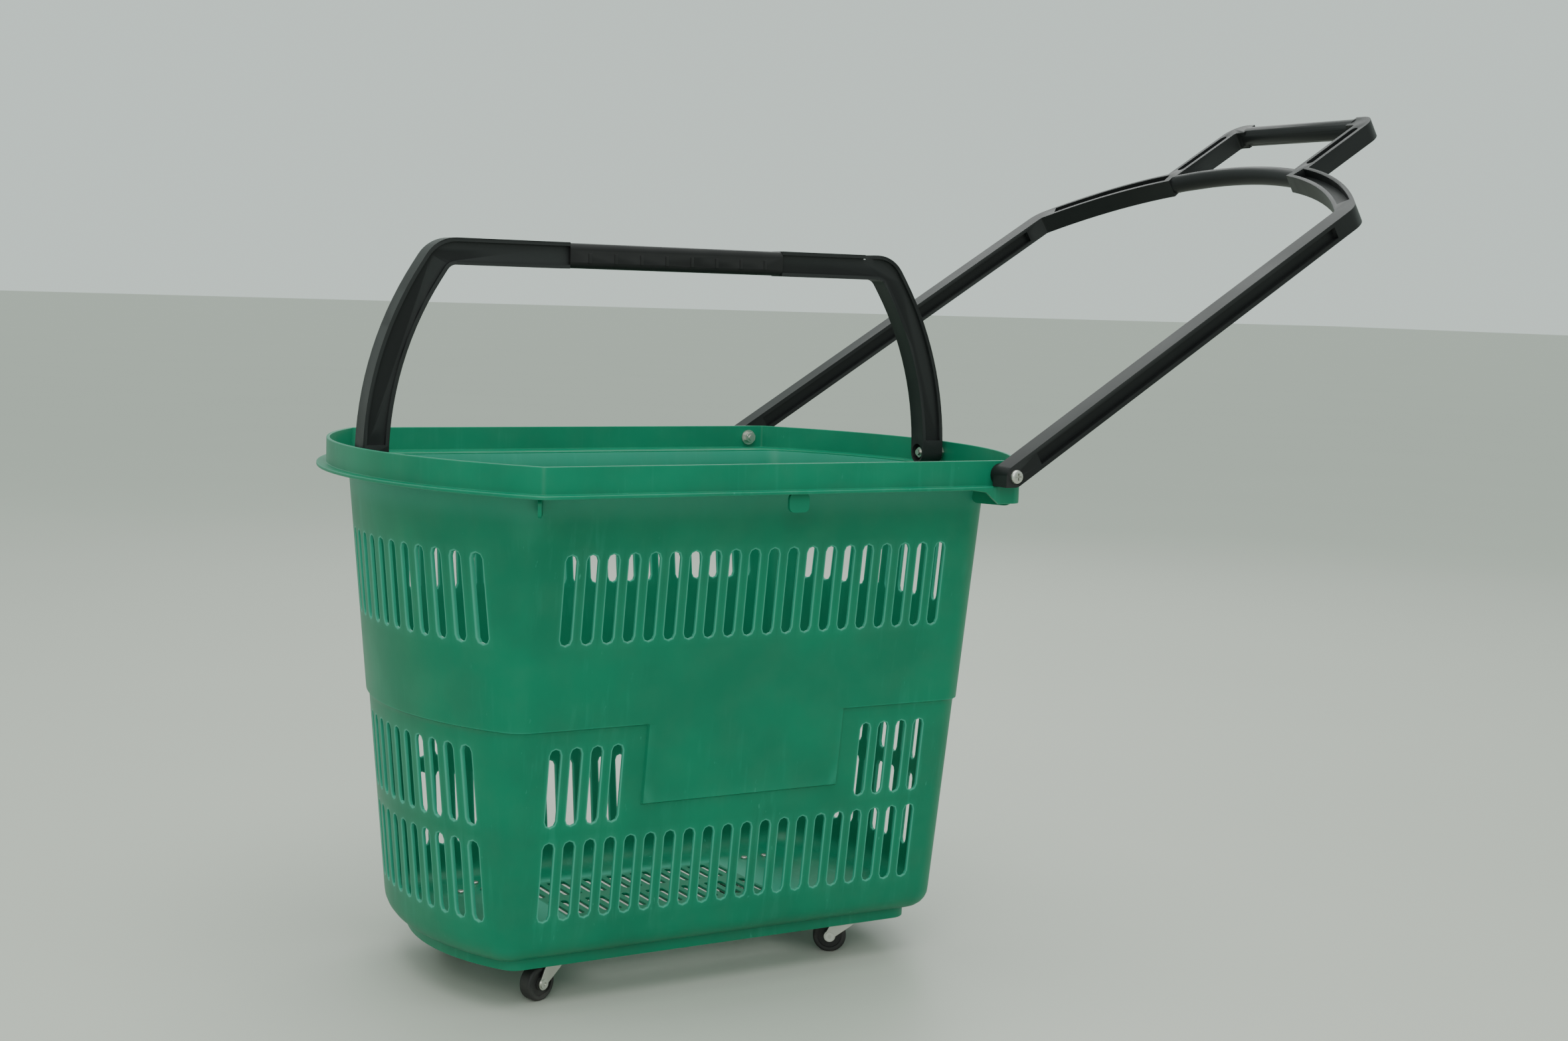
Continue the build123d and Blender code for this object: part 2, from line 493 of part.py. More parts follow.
def caster_plate():
    """Square plate with a pressed ring that covers the balls."""
    plate = Pos(0, 0, BASE_Z - PLATE_T / 2) * Box(2 * PLATE_HALF, 2 * PLATE_HALF, PLATE_T)
    plate = fillet(plate.edges().filter_by(Axis.Z), PLATE_ROUND)
    ring = Cylinder(RACE_R, RACE_H) - Cylinder(RACE_R - RACE_T, RACE_H)
    plate += Pos(0, 0, BASE_Z - PLATE_T - RACE_H / 2) * ring
    for hx, hy in screw_places():
        plate -= Pos(hx, hy, BASE_Z) * Cylinder(SCREW_R + RUN, 4 * PLATE_T)
    return plate - Pos(0, 0, BASE_Z) * Cylinder(KING_R, 4 * PLATE_T)


def caster_balls():
    z = BASE_Z - PLATE_T - BALL_R - BALL_PLAY
    return [Pos(0, 0, z) * Rot(0, 0, 360 * i / BALLS) * Pos(BALL_CIRCLE, 0, 0) * Sphere(BALL_R)
            for i in range(BALLS)]


def king_pin():
    """Rivet that carries the fork: flush in the plate, with a head under the crown."""
    top, low = BASE_Z, CROWN_Z - KING_PLAY
    shank = Pos(0, 0, (top + low) / 2) * Cylinder(KING_R, top - low)
    head = Pos(0, 0, low - KING_HEAD_H / 2) * Cylinder(KING_HEAD_R, KING_HEAD_H)
    head = chamfer(head.edges().group_by(Axis.Z)[0], KING_CHAMFER)
    return shank + head


def fork():
    """Pressed fork: round crown, and two legs that trail back to the axle."""
    crown = Pos(0, 0, CROWN_Z + FORK_T / 2) * Cylinder(CROWN_R, FORK_T)
    inner = FORK_GAP / 2
    bridge = Box(BRIDGE_X1 - BRIDGE_X0, 2 * (inner + FORK_T), FORK_T)
    crown += Pos((BRIDGE_X0 + BRIDGE_X1) / 2, 0, CROWN_Z + FORK_T / 2) * bridge
    top_z, upper_z, lower_z = CROWN_Z + FORK_T, CROWN_Z - LEG_STEPS[0], CROWN_Z - LEG_STEPS[1]
    back = -CASTER_TRAIL + LEG_BACK
    leg = make_face(Polyline(
        (LEG_FRONT, top_z), (LEG_FRONT, upper_z), (LEG_THROAT, lower_z),
        (-CASTER_TRAIL + AXLE_BOSS_R, WHEEL_R), (-CASTER_TRAIL - AXLE_BOSS_R, WHEEL_R),
        (back, upper_z), (back, top_z), close=True))
    leg = fillet(leg.vertices().sort_by(Axis.X)[-3:-2], LEG_ROUND)
    leg += Pos(-CASTER_TRAIL, WHEEL_R) * Circle(AXLE_BOSS_R)
    leg_solid = extrude(Plane.XZ * leg, -FORK_T)
    body = crown + Pos(0, inner, 0) * leg_solid + Pos(0, -inner - FORK_T, 0) * leg_solid
    body -= Pos(0, 0, CROWN_Z) * Cylinder(KING_R + RUN, 4 * FORK_T)
    return body - Pos(-CASTER_TRAIL, 0, WHEEL_R) * Cylinder(AXLE_R, 4 * FORK_GAP, rotation=(90, 0, 0))


def wheel():
    """Solid wheel with a crowned tread and dished sides."""
    disc = fillet(Cylinder(WHEEL_R, WHEEL_W).edges(), TREAD_ROUND)
    dish = Cylinder(WHEEL_R - DISH_RIM, 2 * DISH_DEPTH) - Cylinder(BUSH_R + DISH_HUB, 2 * DISH_DEPTH)
    for side in (-1, 1):
        disc -= Pos(0, 0, side * (WHEEL_W / 2 - DISH_DEPTH)) * dish
    disc -= Cylinder(BUSH_R, 2 * WHEEL_W)
    return axle_turned(disc)


def wheel_bush():
    tube = Cylinder(BUSH_R - BUSH_PLAY, WHEEL_W + 2 * BUSH_PROUD)
    return axle_turned(tube - Cylinder(AXLE_R + RUN, 2 * WHEEL_W))


def axle():
    """Tubular rivet: a head on each side, dimpled in the middle."""
    over = FORK_GAP / 2 + FORK_T
    pin = Cylinder(AXLE_R, 2 * over)
    for side in (-1, 1):
        pin += Pos(0, 0, side * (over + RIVET_HEAD_H / 2)) * Cylinder(RIVET_HEAD_R, RIVET_HEAD_H)
        pin -= Pos(0, 0, side * (over + RIVET_HEAD_H)) * Cylinder(RIVET_DIMPLE_R, 2 * RIVET_DIMPLE)
    return axle_turned(pin)


def axle_turned(piece):
    return Pos(-CASTER_TRAIL, 0, WHEEL_R) * Rot(90, 0, 0) * piece


def caster_screws():
    """Pan-head screws from inside the basket, down through the floor and the plate."""
    top, low = BASE_Z + WALL, BASE_Z - PLATE_T - SCREW_NUT_H - SCREW_PAST_NUT
    shank = Pos(0, 0, (top + low) / 2) * Cylinder(SCREW_R, top - low)
    head = Pos(0, 0, top + SCREW_HEAD_H / 2) * Cylinder(SCREW_HEAD_R, SCREW_HEAD_H)
    head = fillet(head.edges().group_by(Axis.Z)[-1], SCREW_HEAD_H * SCREW_HEAD_ROUND)
    return [Pos(hx, hy, 0) * (shank + head) for hx, hy in screw_places()]


def caster_nuts():
    nut = hex_nut(SCREW_R, SCREW_NUT_AF, SCREW_NUT_H)
    return [Pos(hx, hy, BASE_Z - PLATE_T - SCREW_NUT_H) * nut for hx, hy in screw_places()]


# ---------------------------------------------------------------------------------------------
def write(name, piece):
    """Save one node. A list of solids is saved as one group."""
    solids = piece if isinstance(piece, list) else [piece]
    shape = Compound(children=solids) if len(solids) > 1 else solids[0]
    export_step(shape, f"parts/{name}.step")


write("basket_body", basket_body())
write("carry_handle", carry_handle())
write("carry_grip", carry_grip())
write("carry_pivot_studs", [bail_stud(sx) for sx in (-1, 1)])
write("carry_pivot_washers", [bail_fastener(washer(), 0, sx) for sx in (-1, 1)])
write("carry_pivot_nuts", [bail_fastener(hex_nut(), WASHER_T, sx) for sx in (-1, 1)])
write("pull_handle", pull_handle())
write("pull_pivot_bolts", [pull_bolt(sy) for sy in (-1, 1)])
write("pull_pivot_washers", [pull_fastener(washer(), 0, sy) for sy in (-1, 1)])
write("pull_pivot_nuts", [pull_fastener(hex_nut(), WASHER_T, sy) for sy in (-1, 1)])

FIXED = {"plate": caster_plate, "balls": caster_balls, "king_pin": king_pin,
         "screws": caster_screws, "nuts": caster_nuts}
TURNING = {"fork": fork, "axle": axle, "wheel": wheel, "wheel_bush": wheel_bush}
for name, (x, y) in caster_places().items():
    for kind, build in {**FIXED, **TURNING}.items():
        heading = CASTER_HEADINGS[name] if kind in TURNING else 0
        place = Pos(x, y, 0) * Rot(0, 0, heading)
        made = build()
        made = [place * m for m in made] if isinstance(made, list) else place * made
        write(f"caster_{kind}_{name}", made)
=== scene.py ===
import json
from math import radians, sin, cos, pi
import bmesh
import bpy
import numpy as np
from mathutils import Matrix


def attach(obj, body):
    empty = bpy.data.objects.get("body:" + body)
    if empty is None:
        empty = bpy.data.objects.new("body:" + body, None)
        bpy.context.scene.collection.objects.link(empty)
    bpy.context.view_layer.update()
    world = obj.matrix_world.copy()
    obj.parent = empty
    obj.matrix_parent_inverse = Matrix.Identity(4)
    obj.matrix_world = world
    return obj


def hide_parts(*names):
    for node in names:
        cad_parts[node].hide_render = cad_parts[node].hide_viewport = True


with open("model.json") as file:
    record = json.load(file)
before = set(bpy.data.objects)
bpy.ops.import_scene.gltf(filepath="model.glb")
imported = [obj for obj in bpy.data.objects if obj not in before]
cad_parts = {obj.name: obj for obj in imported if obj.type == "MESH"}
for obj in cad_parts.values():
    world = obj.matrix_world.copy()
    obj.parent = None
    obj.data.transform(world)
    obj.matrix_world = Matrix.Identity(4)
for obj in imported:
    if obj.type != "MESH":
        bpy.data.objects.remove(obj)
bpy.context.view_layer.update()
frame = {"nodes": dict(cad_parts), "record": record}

MM = 0.001

# ---- sizes of the basket, in millimetres ----------------------------------------------------
WALL = 3.0
BASE_Z, STEP_Z, LEDGE_Z, RIM_Z = 44.0, 255.0, 461.5, 487.5
STEP_INSET, FOOT_R = 2.5, 20.0
FOOT_PLAN = np.array([141.0, 222.0, 262.0])     # half width, corner x and end x of the outer wall
TOP_PLAN = np.array([195.0, 226.0, 299.0])
RIM_PLAN = np.array([234.0, 234.0, 316.0])
SKIRT_PLAN = np.array([121.0, 204.0, 243.0])
INSET_SHARE = np.array([1.0, 0.6, 1.0])         # how each plan value follows an inset
WALL_ROUND, RIM_ROUND, SKIRT_ROUND, SKIRT_Z = 26.0, 8.0, 18.0, 33.5
FLANGE_OUT, LUG_OUT, LUG_Z = 9.0, 4.0, 448.0
LUG_X0, LUG_X1 = 194.0, 213.0
SLOT_W, EDGE_R = 10.2, 0.7
SIDE_PITCH, SIDE_COLUMNS, OPEN_EACH_END = 19.6, 20, 4
ROWS = {"upper": (330.5, 408.5), "middle": (168.5, 238.5), "lower": (82.0, 154.0)}
END_COLUMNS = {"upper": (20.8, 15), "middle": (19.6, 13), "lower": (19.6, 13)}
CELL_MARGIN = 6.0                               # from a slot's end to the edge of its cell
ROUND_SHARE = 0.5                               # how much a plan's rounding follows an inset
STEP_BELOW, STEP_ABOVE = 1.0, 0.6               # height over which the lower wall steps in
PANEL_EASE, PANEL_NEAR = 0.8, 0.7               # step at the label panel's edge, and the columns beside it
LEDGE_REACH, LEDGE_INTO_WALL = 46.0, 1.0        # how far the ledge runs in, and how far into the wall
SKIRT_TOP = 46.0
RIB_HALF, RIB_ROUND, RIB_TURN = (1.5, 20.0, 8.5), 7.0, 26.0
RIB_PLACE, RIB_DROP = (226.0, 210.5), 8.0       # middle of each gusset, and how far below the ledge it is
TAB_HALF, TAB_ROUND, TAB_X = (10.0, 8.5), 6.0, 6.0
PANEL_HALF, PANEL_Z = 100.0, 182.0
FLOOR_SLOT, FLOOR_PITCH, FLOOR_COLUMNS, FLOOR_ROW = (6.0, 46.0), 13.0, 17, 61.0


# ---- meshes ---------------------------------------------------------------------------------
def add_piece(name, parts, body, material, node=None, smooth_deg=35):
    """One mesh from (points, quads) arrays in millimetres, welded, with its faces turned outwards.

    A fourth value on a point is the painted highlight there, kept as a point attribute.
    """
    points, faces, base = [], [], 0
    for p, f in parts:
        flat = p.reshape(-1, p.shape[-1])
        points.append(np.pad(flat, ((0, 0), (0, 4 - flat.shape[1]))))
        faces.append(f + base)
        base += len(flat)
    points = np.vstack(points)
    mesh = bpy.data.meshes.new(name)
    mesh.from_pydata((points[:, :3] * MM).tolist(), [], np.vstack(faces).tolist())
    mesh.attributes.new("slot_highlight", "FLOAT", "POINT").data.foreach_set("value", points[:, 3])
    bm = bmesh.new()
    bm.from_mesh(mesh)
    bmesh.ops.remove_doubles(bm, verts=bm.verts, dist=2e-5)
    bmesh.ops.dissolve_degenerate(bm, edges=bm.edges, dist=1e-6)
    bmesh.ops.recalc_face_normals(bm, faces=bm.faces)
    bm.to_mesh(mesh)
    bm.free()
    piece = bpy.data.objects.new(name, mesh)
    bpy.context.scene.collection.objects.link(piece)
    mesh.shade_smooth()
    mesh.set_sharp_from_angle(angle=radians(smooth_deg))
    mesh.materials.append(material)
    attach(piece, body)
    if node:
        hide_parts(node)
    return piece


def grid_faces(rows, columns, loop_rows=False, loop_columns=False):
    """Quads of a rows by columns grid of points, closed on itself where a loop is asked for."""
    r = np.arange(rows if loop_rows else rows - 1)[:, None]
    c = np.arange(columns if loop_columns else columns - 1)[None, :]
    r1, c1 = (r + 1) % rows, (c + 1) % columns
    quads = np.stack([r * columns + c, r * columns + c1, r1 * columns + c1, r1 * columns + c], -1)
    return quads.reshape(-1, 4)


def grid(points, loop_rows=False, loop_columns=False):
    return points, grid_faces(points.shape[0], points.shape[1], loop_rows, loop_columns)


# ---- the plan of the basket -----------------------------------------------------------------
def smooth_step(x, a, b):
    t = np.clip((x - a) / (b - a), 0, 1)
    return t * t * (3 - 2 * t)


def wall_plan(z, inset):
    """Half width, corner x, end x and rounding of the draughted wall at height z, moved in by inset."""
    t = ((z - BASE_Z) / (LEDGE_Z - BASE_Z))[..., None]
    plan = FOOT_PLAN + (TOP_PLAN - FOOT_PLAN) * t - INSET_SHARE * inset[..., None]
    return plan[..., 0], plan[..., 1], plan[..., 2], WALL_ROUND - ROUND_SHARE * inset


def end_circle(side, corner, apex):
    """Centre x and radius of the circle through both corners and the end's furthest point."""
    sag = apex - corner
    radius = (side ** 2 + sag ** 2) / (2 * sag)
    return apex - radius, radius


def corner_path(plan, x0, y0, counts):
    """Side wall from x0, round the corner, and along the end arc to y0, in one quarter of the plan.

    The corner is a circle tangent to the straight side and to the end's circle, so its centre lies
    one rounding inside both. Points run along the last axis.
    """
    side, corner, apex, rounding = [np.asarray(v, float)[..., None] for v in plan]
    cx, radius = end_circle(side, corner, apex)
    fx = cx + np.sqrt((radius - rounding) ** 2 - (side - rounding) ** 2)
    lean = np.arctan2(side - rounding, fx - cx)
    t1, t2, t3 = [np.linspace(0, 1, n + 1) for n in counts]
    xa, ya = x0 + (fx - x0) * t1, side + 0 * t1 * fx
    a2 = pi / 2 + (lean - pi / 2) * t2[1:]
    xb, yb = fx + rounding * np.cos(a2), side - rounding + rounding * np.sin(a2)
    end_lean = np.arcsin(np.clip(y0 / radius, -1, 1))
    a3 = lean + (end_lean - lean) * t3[1:]
    xc, yc = cx + radius * np.cos(a3), radius * np.sin(a3)
    return np.stack([np.concatenate([xa, xb, xc], -1), np.concatenate([ya, yb, yc], -1)], -1)


def full_plan(plan, counts=(14, 8, 16)):
    """The whole closed plan, four mirrored quarters, with points along the last axis but one."""
    quarter = corner_path(plan, 0.0, 0.0, counts)
    q2 = quarter[..., ::-1, :][..., 1:, :] * [1, -1]
    q3 = quarter[..., 1:, :] * [-1, -1]
    q4 = quarter[..., ::-1, :][..., 1:-1, :] * [-1, 1]
    return np.concatenate([quarter, q2, q3, q4], -2)


def swept(rows):
    """A closed section carried round the plan. Each row is (plan values, rounding, height)."""
    rings = []
    for plan, rounding, z in rows:
        xy = full_plan((plan[0], plan[1], plan[2], rounding))
        rings.append(np.concatenate([xy, np.full((len(xy), 1), float(z))], -1))
    return grid(np.stack(rings), loop_rows=True, loop_columns=True)


# ---- the slotted wall -----------------------------------------------------------------------
def face_inset(p, z, on_side):
    """How far the outer face is set in: the lower wall steps in, except on the label panel."""
    step = 1 - smooth_step(z, STEP_Z - STEP_BELOW, STEP_Z + STEP_ABOVE)
    if not on_side:
        return STEP_INSET * step
    across = 1 - smooth_step(np.abs(p), PANEL_HALF - PANEL_EASE, PANEL_HALF + PANEL_EASE)
    panel = across * smooth_step(z, PANEL_Z - PANEL_EASE, PANEL_Z + PANEL_EASE)
    return STEP_INSET * step * (1 - panel)


def on_wall(wall, p, z, depth):
    """Point of a wall: p across it, height z, and depth in from its outer face."""
    side_wall = wall in ("near", "far")
    side, corner, apex, _ = wall_plan(z, face_inset(p, z, side_wall) + depth)
    if side_wall:
        return np.stack([p + 0 * side, side * (1 if wall == "far" else -1), z + 0 * side], -1)
    cx, radius = end_circle(side, corner, apex)
    x = cx + np.sqrt(radius ** 2 - p ** 2)
    return np.stack([x * (1 if wall == "pull" else -1), p + 0 * x, z + 0 * x], -1)


def cell_rings(half, slot_half_w, straight, across, up, thick, edge_r):
    """Rings from a cell's rectangle in to its slot, through the wall, and back.

    A slot is a stadium: two straight sides and two half rounds. Its edge is a quarter round of
    radius edge_r on both faces, with a painted highlight on it and on a narrow border beside it.
    Every ring has the same number of points. Gives each ring's offsets, its depth, and its painted highlight.
    """
    u, v = np.linspace(-1, 1, across + 1), np.linspace(-1, 1, up + 1)
    square = np.concatenate([
        np.stack([u[:-1], -np.ones(across)], -1), np.stack([np.ones(up), v[:-1]], -1),
        np.stack([u[:0:-1], np.ones(across)], -1), np.stack([-np.ones(up), v[:0:-1]], -1)])
    turn = pi * square[:, :1] / 2
    round_end = np.concatenate([slot_half_w * np.sin(turn),
                                np.sign(square[:, 1:]) * (straight + slot_half_w * np.cos(turn))], -1)
    upright = np.concatenate([np.sign(square[:, :1]) * slot_half_w, straight * square[:, 1:]], -1)
    stadium = np.where(np.abs(square[:, 1:]) > 0.999, round_end, upright)
    outward = stadium - [0, 1] * np.clip(stadium, -straight, straight)
    outward /= np.linalg.norm(outward, axis=1)[:, None]
    bend = np.linspace(0, pi / 2, 3)
    spread = np.concatenate([[edge_r + HIGHLIGHT_BORDER], edge_r * (1 - np.sin(bend))])
    sink = np.concatenate([[0.0], edge_r * (1 - np.cos(bend))])
    spread, sink = np.concatenate([spread, spread[::-1]]), np.concatenate([sink, thick - sink[::-1]])
    through = stadium[None] + outward[None] * spread[:, None, None]
    rings = np.concatenate([[square * half], through, [square * half]])
    every = np.zeros(len(square))
    depth = np.concatenate([[0.0], sink, [thick]])[:, None] + every
    # painted highlight: strongest on the slot's rounded edge, fading over the border beside it
    slot_highlight = np.array([0.0, 0.1, 1.0, 1.0, 0.7, 0.7, 1.0, 1.0, 0.1, 0.0])[:, None] + every
    return rings, depth, slot_highlight


def slot_cells(wall, centres, row, pitch):
    z0, z1 = ROWS[row]
    half = np.array([pitch / 2, (z1 - z0) / 2 + CELL_MARGIN])
    rings, depth, slot_highlight = cell_rings(half, SLOT_W / 2, (z1 - z0 - SLOT_W) / 2, ACROSS, UP, WALL, EDGE_R)
    cells = [on_wall(wall, rings[..., 0] + c, rings[..., 1] + (z0 + z1) / 2, depth) for c in centres]
    return [grid(np.concatenate([cell, slot_highlight[..., None]], -1), loop_columns=True) for cell in cells]


ACROSS, UP = 4, 8                               # divisions of a slot's cell
HIGHLIGHT_BORDER = 1.1                               # width of the painted highlight beside a slot's edge
SIDE_HALF = SIDE_COLUMNS * SIDE_PITCH / 2
SIDE_STEPS, CORNER_STEPS = SIDE_COLUMNS * ACROSS // 2, (4, 8)
OPEN_STEPS = (SIDE_COLUMNS // 2 - OPEN_EACH_END) * ACROSS
END_HALF = {row: pitch * count / 2 for row, (pitch, count) in END_COLUMNS.items()}
END_STEPS = {row: count * ACROSS // 2 for row, (pitch, count) in END_COLUMNS.items()}
STRIP_LEAST, END_LEAST = 1.5, 0.2               # least plain strip past the last cell, on a side and an end
END_TOTAL = 34                                  # divisions from the corner's round to the end's middle
FOOT_TOP = BASE_Z + FOOT_R
MID_LOW, MID_HIGH = ROWS["middle"][0] - CELL_MARGIN, ROWS["middle"][1] + CELL_MARGIN
TOP_LOW = ROWS["upper"][0] - CELL_MARGIN
BANDS = [
    [FOOT_TOP, 70.0, ROWS["lower"][0] - CELL_MARGIN],
    [ROWS["lower"][1] + CELL_MARGIN, MID_LOW],
    [MID_HIGH, 250.0, 253.8, 254.4, 255.0, 255.6, 257.0, 264.0, 285.0, 305.0, TOP_LOW],
    [ROWS["upper"][1] + CELL_MARGIN, 435.0, LEDGE_Z + 1.5],
]


def end_places(row, y_round):
    """Sideways places from the corner's round to the end's middle, finer where the slots are."""
    strip = END_TOTAL - END_STEPS[row]
    t = np.arange(strip + 1) / strip
    reach = np.minimum(END_HALF[row], y_round - END_LEAST)
    cells = reach * np.linspace(1, 0, END_STEPS[row] + 1)[1:]
    return np.concatenate([y_round * (1 - t) + reach * t, cells], -1)


def wall_quarter(z, depth, plan_z=None, extra=0.0):
    """One quarter of the wall's plan at each height: straight side, corner round, end arc.

    Two columns close in on the label panel's edge, and two rows on its foot, so that its step is crisp.
    """
    z = np.asarray(z, float)[:, None]
    plan_z = z if plan_z is None else np.full(z.shape, plan_z)
    x = np.broadcast_to(np.linspace(0, SIDE_HALF, SIDE_STEPS + 1), (len(z), SIDE_STEPS + 1)).copy()
    pull_in = smooth_step(z, MID_LOW, MID_LOW + 9) * (1 - smooth_step(z, 264, 300))
    inner = int(PANEL_HALF * ACROSS / SIDE_PITCH)
    for k, target in ((inner, PANEL_HALF - PANEL_NEAR), (inner + 1, PANEL_HALF + PANEL_NEAR)):
        x[:, k:k + 1] += (target - x[:, k:k + 1]) * pull_in
    z_side = z + 0 * x
    flat_x = 1 - smooth_step(np.abs(x), PANEL_HALF + 5, PANEL_HALF + 17)
    gap = (MID_HIGH - MID_LOW) / UP
    for level, target in ((MID_LOW + gap, PANEL_Z - PANEL_NEAR), (MID_LOW + 2 * gap, PANEL_Z + PANEL_NEAR)):
        z_side += np.where(np.abs(z - level) < 0.01, (target - z) * flat_x, 0)
    side_y, _, _, _ = wall_plan(plan_z + z_side - z, face_inset(x, z_side, True) + depth + extra)
    side, corner, apex, rounding = wall_plan(plan_z, face_inset(0, z, False) + depth + extra)
    cx, radius = end_circle(side, corner, apex)
    fx = cx + np.sqrt((radius - rounding) ** 2 - (side - rounding) ** 2)
    lean = np.arctan2(side - rounding, fx - cx)
    t1 = np.arange(1, CORNER_STEPS[0] + 1) / CORNER_STEPS[0]
    t2 = np.arange(1, CORNER_STEPS[1] + 1) / CORNER_STEPS[1]
    straight = np.minimum(1, (fx - STRIP_LEAST) / SIDE_HALF)
    x = x * straight
    xa, a2 = x[:, -1:] + (fx - x[:, -1:]) * t1, pi / 2 + (lean - pi / 2) * t2
    y_round = radius * np.sin(lean)
    upper = smooth_step(z, 264, TOP_LOW)
    y = end_places("lower", y_round) * (1 - upper) + end_places("upper", y_round) * upper
    y = y[:, 1:]
    xs = np.concatenate([x, xa, fx + rounding * np.cos(a2), cx + np.sqrt(radius ** 2 - y ** 2)], -1)
    ys = np.concatenate([side_y, side + 0 * xa, side - rounding + rounding * np.sin(a2), y], -1)
    zs = np.concatenate([z_side, np.broadcast_to(z, (len(z), xs.shape[1] - x.shape[1]))], -1)
    return np.stack([xs, ys, zs], -1)


def around(quarter):
    """Four mirrored quarters as one closed ring, along the last axis but one."""
    q2 = quarter[..., ::-1, :][..., 1:, :] * [1, -1, 1]
    q3 = quarter[..., 1:, :] * [-1, -1, 1]
    q4 = quarter[..., ::-1, :][..., 1:-1, :] * [-1, 1, 1]
    return np.concatenate([quarter, q2, q3, q4], -2)


def four_ways(quarter):
    return [grid(quarter * [sx, sy, 1]) for sx in (-1, 1) for sy in (-1, 1)]


def slotted_walls():
    """Bands of plain wall all round, and between them the rows of slots and what lies beside them."""
    parts = []
    centres = (np.arange(SIDE_COLUMNS) - (SIDE_COLUMNS - 1) / 2) * SIDE_PITCH
    beside_panel = np.concatenate([centres[:OPEN_EACH_END], centres[-OPEN_EACH_END:]])
    for depth in (0.0, WALL):
        parts += [grid(around(wall_quarter(band, depth)), loop_columns=True) for band in BANDS]
    for row, (z0, z1) in ROWS.items():
        pitch, count = END_COLUMNS[row]
        for wall in ("near", "far"):
            parts += slot_cells(wall, beside_panel if row == "middle" else centres, row, SIDE_PITCH)
        for wall in ("pull", "rear"):
            parts += slot_cells(wall, (np.arange(count) - (count - 1) / 2) * pitch, row, pitch)
        levels = np.linspace(z0 - CELL_MARGIN, z1 + CELL_MARGIN, UP + 1)
        last = SIDE_STEPS + sum(CORNER_STEPS) + END_TOTAL - END_STEPS[row]
        for depth in (0.0, WALL):
            quarter = wall_quarter(levels, depth)
            parts += four_ways(quarter[:, SIDE_STEPS:last + 1])
            if row == "middle":
                parts += four_ways(quarter[:, :OPEN_STEPS + 1])
    tops = [around(wall_quarter(BANDS[-1][-1:], d)) for d in (0.0, WALL)]
    parts.append(grid(np.concatenate(tops), loop_columns=True))
    return parts


def basket_foot():
    """The rounding from wall to floor: inset grows as 1 - cos and height falls as sin. Then the floor
    runs in to the edge of its slotted middle."""
    turn = np.linspace(0, pi / 2, 7)
    hems, parts = [], []
    for depth in (0.0, WALL):
        radius = FOOT_R - depth
        z = FOOT_TOP - radius * np.sin(turn)
        rings = np.concatenate([
            around(wall_quarter([FOOT_TOP], depth, extra=radius * (1 - cos(a)))) for a in turn])
        rings[..., 2] = z[:, None]
        last = rings[-1]
        reach = np.array([FLOOR_COLUMNS * FLOOR_PITCH, 3 * FLOOR_ROW]) / 2
        hem = last.copy()
        hem[:, :2] /= np.max(np.abs(last[:, :2]) / reach, axis=1)[:, None]
        hems.append(hem)
        parts.append(grid(np.concatenate([rings, [(last + hem) / 2, hem]]), loop_columns=True))
    parts.append(grid(np.stack(hems), loop_columns=True))
    return parts


def basket_floor():
    """The slotted middle of the floor, a plate closed by its own border."""
    half = np.array([FLOOR_PITCH, FLOOR_ROW]) / 2
    straight = (FLOOR_SLOT[1] - FLOOR_SLOT[0]) / 2
    rings, depth, _ = cell_rings(half, FLOOR_SLOT[0] / 2, straight, ACROSS, UP, WALL, EDGE_R)
    xs = (np.arange(FLOOR_COLUMNS) - (FLOOR_COLUMNS - 1) / 2) * FLOOR_PITCH
    parts = [grid(np.stack([rings[..., 0] + x, rings[..., 1] + y, BASE_Z + depth], -1), loop_columns=True)
             for x in xs for y in (-FLOOR_ROW, 0.0, FLOOR_ROW)]
    ex, ey = FLOOR_COLUMNS * FLOOR_PITCH / 2, 1.5 * FLOOR_ROW
    lx, ly = np.linspace(-ex, ex, FLOOR_COLUMNS * ACROSS + 1), np.linspace(-ey, ey, 3 * UP + 1)
    border = np.concatenate([
        np.stack([lx[:-1], 0 * lx[:-1] - ey], -1), np.stack([0 * ly[:-1] + ex, ly[:-1]], -1),
        np.stack([lx[:0:-1], 0 * lx[:0:-1] + ey], -1), np.stack([0 * ly[:0:-1] - ex, ly[:0:-1]], -1)])
    z = np.broadcast_to(np.array([BASE_Z, BASE_Z + WALL])[:, None], (2, len(border)))
    parts.append(grid(np.concatenate([np.stack([border] * 2), z[..., None]], -1), loop_columns=True))
    return parts


# ---- the rim --------------------------------------------------------------------------------
def rounded(corners, radius=0.9, steps=3):
    """A closed outline with each corner turned on a small arc (a quadratic curve through the corner)."""
    c = np.array(corners, float)
    to_prev, to_next = np.roll(c, 1, 0) - c, np.roll(c, -1, 0) - c
    lp, ln = np.linalg.norm(to_prev, axis=1), np.linalg.norm(to_next, axis=1)
    cut = np.minimum(radius, 0.45 * np.minimum(lp, ln))[:, None]
    a, b = c + to_prev / lp[:, None] * cut, c + to_next / ln[:, None] * cut
    t = np.linspace(0, 1, steps + 1)[None, :, None]
    arc = (1 - t) ** 2 * a[:, None] + 2 * t * (1 - t) * c[:, None] + t ** 2 * b[:, None]
    return arc.reshape(-1, 2)


def rim_section(out_lip, low):
    """Section of ledge, band and lip as (out from the band's face, height)."""
    return rounded([
        (-WALL, RIM_Z), (0, RIM_Z), (0, LEDGE_Z + WALL), (out_lip, LEDGE_Z + WALL), (out_lip, low),
        (out_lip - WALL, low), (out_lip - WALL, LEDGE_Z), (-LEDGE_REACH, LEDGE_Z),
        (-LEDGE_REACH, LEDGE_Z + WALL), (-WALL, LEDGE_Z + WALL)])


